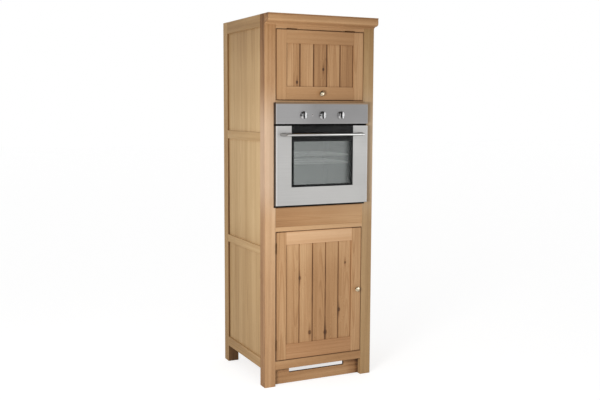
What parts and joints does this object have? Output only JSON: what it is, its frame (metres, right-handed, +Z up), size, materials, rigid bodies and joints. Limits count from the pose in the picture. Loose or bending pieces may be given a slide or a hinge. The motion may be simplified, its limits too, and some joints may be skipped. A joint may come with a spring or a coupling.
{
  "type": "tall oven housing unit",
  "caption": "Tall framed oak kitchen housing with a lift-up flap cupboard, a built-in electric oven and a hinged lower cupboard.",
  "frame": {"origin": "on the floor, under the middle of the whole unit's box, oven handle included", "axes": "+Z up, +X to the right of someone facing the unit, +Y towards the wall behind it"},
  "size_m": [0.706, 0.745, 2.155],
  "materials": {
    "oak_frame": "oiled oak, open grain",
    "oak_panel": "oiled oak veneer",
    "oak_board": "oiled oak boards",
    "oak_interior": "pale sanded oak",
    "satin_nickel": "satin nickel plate",
    "dark_bronze": "dark bronzed steel",
    "zinc_steel": "zinc plated",
    "brushed_steel": "brushed along its length",
    "control_steel": "satin",
    "chrome_wire": "bright",
    "black_enamel": "vitreous enamel",
    "black_plastic": "moulded",
    "element": "oxidised sheath",
    "seal_rubber": "matt",
    "door_glass": "tinted, black border",
    "lamp_lens": "amber lens"
  },
  "bodies": {
    "housing": {"front_left_post": "oak_frame", "front_right_post": "oak_frame", "back_left_post": "oak_frame", "back_right_post": "oak_frame", "left_side_rails": "oak_frame", "right_side_rails": "oak_frame", "side_panels": "oak_panel", "back_rails": "oak_panel", "back_panels": "oak_panel", "front_top_rail": "oak_frame", "front_middle_rail": "oak_panel", "front_bottom_rail": "oak_frame", "oven_apron": "oak_frame", "plinth_board": "oak_frame", "cornice": "oak_frame", "top_board": "oak_interior", "upper_floor": "oak_interior", "oven_shelf": "oak_interior", "lower_floor": "oak_interior", "floor_bearers": "oak_interior", "loose_shelf": "oak_interior", "shelf_pins": "satin_nickel", "hinge_frame_leaves": "dark_bronze", "strut_frame_brackets": "zinc_steel", "magnet_catches": "black_plastic", "oven_front_frame": "black_enamel", "oven_casing": "zinc_steel", "oven_cavity": "black_enamel", "oven_side_ladders": "chrome_wire", "oven_grill_element": "element", "oven_terminal_box": "black_plastic", "oven_door_seal": "seal_rubber", "oven_fascia": "brushed_steel", "oven_vent_grille": "black_enamel", "oven_switches": "black_plastic", "oven_pilot_lamp": "lamp_lens", "oven_hinge_arms": "zinc_steel"},
    "flap": {"flap_stiles": "oak_frame", "flap_rails": "oak_frame", "flap_boards": "oak_board", "flap_knob": "satin_nickel", "flap_hinge_leaves": "dark_bronze", "flap_brackets": "zinc_steel"},
    "strut_cylinders": {"strut_cylinders": "black_plastic"},
    "strut_rods": {"strut_rods": "chrome_wire"},
    "door": {"door_stiles": "oak_frame", "door_rails": "oak_frame", "door_boards": "oak_board", "door_knob": "satin_nickel", "door_hinge_leaves": "dark_bronze", "door_strike_plate": "satin_nickel"},
    "oven_door": {"oven_door_panel": "brushed_steel", "oven_door_inner_frame": "black_enamel", "oven_door_glass": "door_glass", "oven_door_handle": "brushed_steel"},
    "knob_left": {"oven_knob_left": "control_steel"},
    "knob_middle": {"oven_knob_middle": "control_steel"},
    "knob_right": {"oven_knob_right": "control_steel"},
    "rack_lower": {"oven_rack_lower": "chrome_wire"},
    "rack_upper": {"oven_rack_upper": "chrome_wire"}
  },
  "joints": [
    {"name": "flap_hinge", "type": "hinge", "parent": "housing", "child": "flap", "pos_m": [0, -0.2905, 2.07375], "axis": [-1, 0, 0], "range_deg": [0, 80]},
    {"name": "strut_cylinder_pivot", "type": "hinge", "parent": "housing", "child": "strut_cylinders", "pos_m": [0, -0.09695, 2.06466], "axis": [-1, 0, 0], "range_deg": [0, 40]},
    {"name": "strut_rod_pivot", "type": "hinge", "parent": "flap", "child": "strut_rods", "pos_m": [0, -0.2525, 1.88375], "axis": [-1, 0, 0], "range_deg": [-40, 0]},
    {"name": "door_hinge", "type": "hinge", "parent": "housing", "child": "door", "pos_m": [-0.28375, -0.2905, 0.534], "axis": [0, 0, -1], "range_deg": [0, 110]},
    {"name": "oven_door_hinge", "type": "hinge", "parent": "housing", "child": "oven_door", "pos_m": [0, -0.3075, 1.078], "axis": [1, 0, 0], "range_deg": [0, 90], "stiffness_Nm_per_rad": 8, "springref_deg": -14.32},
    {"name": "knob_left_turn", "type": "hinge", "parent": "housing", "child": "knob_left", "pos_m": [-0.123, -0.3195, 1.588], "axis": [0, 1, 0], "range_deg": [0, 300]},
    {"name": "knob_middle_turn", "type": "hinge", "parent": "housing", "child": "knob_middle", "pos_m": [-0.002, -0.3195, 1.588], "axis": [0, 1, 0], "range_deg": [0, 300]},
    {"name": "knob_right_turn", "type": "hinge", "parent": "housing", "child": "knob_right", "pos_m": [0.119, -0.3195, 1.588], "axis": [0, 1, 0], "range_deg": [0, 270]},
    {"name": "rack_lower_slide", "type": "slide", "parent": "housing", "child": "rack_lower", "axis": [0, -1, 0], "range_m": [0, 0.02]},
    {"name": "rack_upper_slide", "type": "slide", "parent": "housing", "child": "rack_upper", "axis": [0, -1, 0], "range_m": [0, 0.02]}
  ],
  "couplings": [
    {"joint": "strut_cylinder_pivot", "follows": "flap_hinge", "ratio": 0.5},
    {"joint": "strut_rod_pivot", "follows": "flap_hinge", "ratio": -0.5}
  ]
}
